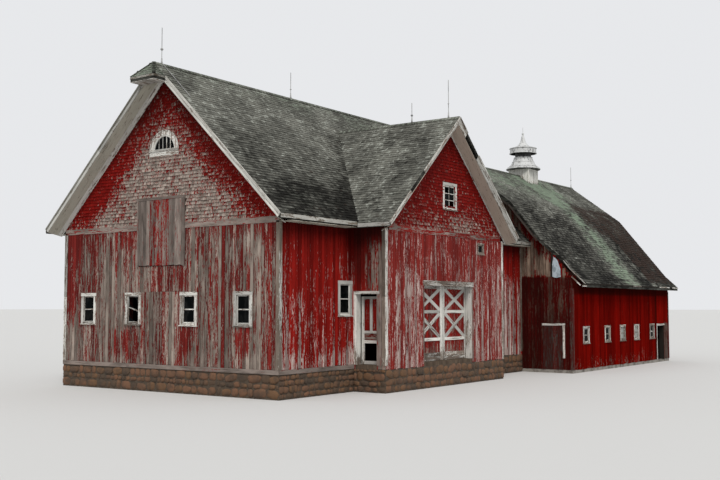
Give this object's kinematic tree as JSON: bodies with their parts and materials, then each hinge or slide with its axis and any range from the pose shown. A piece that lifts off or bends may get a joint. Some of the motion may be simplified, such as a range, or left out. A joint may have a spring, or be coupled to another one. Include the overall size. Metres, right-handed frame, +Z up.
{
  "type": "red gable barn with wagon wing and stable barn",
  "caption": "Weathered red timber barn with a gable front, a hay hood, a gabled wagon wing with double doors, and a longer stable barn under a gambrel roof with a round ridge ventilator.",
  "frame": {"origin": "centre of the building's overall box, on the lowest ground at the stable's rear corner", "axes": "+X runs from the front gable back along both ridges, +Y away from the side with the wagon wing, +Z up"},
  "size_m": [33.365, 14.991, 13.57],
  "materials": {
    "fieldstone": "rough",
    "floor_planks": "rough",
    "red_boards": "weathered",
    "roof_shingles": "weathered",
    "white_trim": "weathered",
    "grey_boards": "weathered",
    "window_glass": "dusty",
    "door_red": "weathered",
    "hinge_iron": "rusty",
    "concrete": "rough",
    "vent_metal": "peeling"
  },
  "bodies": {
    "barn": {"main_foundation": "fieldstone", "main_floor": "floor_planks", "front_wall": "red_boards", "front_gable": "red_boards", "near_side_walls": "red_boards", "far_side_wall": "red_boards", "main_rear_wall": "red_boards", "main_near_roof": "roof_shingles", "main_far_roof": "roof_shingles", "hay_hood": "roof_shingles", "rake_trim": "white_trim", "eave_boards": "white_trim", "hay_door": "grey_boards", "window_frames": "white_trim", "half_round_window": "white_trim", "window_glass": "window_glass", "band_boards": "grey_boards", "corner_boards": "white_trim", "sill_boards": "grey_boards", "wing_left_wall": "red_boards", "wing_left_wall_head": "red_boards", "wing_gable_sides": "red_boards", "wing_gable_upper": "red_boards", "wing_right_wall": "red_boards", "wing_left_roof": "roof_shingles", "wing_right_roof": "roof_shingles", "door_frames": "white_trim", "door_pintles": "hinge_iron", "stable_footing": "concrete", "stable_floor": "concrete", "stable_front_wall": "red_boards", "stable_near_walls": "red_boards", "stable_doorway_head": "red_boards", "stable_far_wall": "red_boards", "stable_rear_wall": "red_boards", "stable_near_roof": "roof_shingles", "stable_far_roof": "roof_shingles", "cupola_base": "white_trim", "cupola_skirt": "vent_metal", "cupola_cap": "vent_metal", "lightning_rods": "hinge_iron"},
    "entry_leaf": {"entry_door": "door_red"},
    "wagon_leaf_left": {"wagon_door_left": "door_red"},
    "wagon_leaf_right": {"wagon_door_right": "door_red"}
  },
  "joints": [
    {"name": "entry_hinge", "type": "hinge", "parent": "barn", "child": "entry_leaf", "pos_m": [-10.8785, -5.3565, 2.3], "axis": [0, 0, -1], "range_deg": [0, 90]},
    {"name": "wagon_left_hinge", "type": "hinge", "parent": "barn", "child": "wagon_leaf_left", "pos_m": [-8.7015, -5.3675, 2.5], "axis": [0, 0, 1], "range_deg": [0, 95]},
    {"name": "wagon_right_hinge", "type": "hinge", "parent": "barn", "child": "wagon_leaf_right", "pos_m": [-4.7435, -5.3675, 2.5], "axis": [0, 0, -1], "range_deg": [0, 95]}
  ]
}
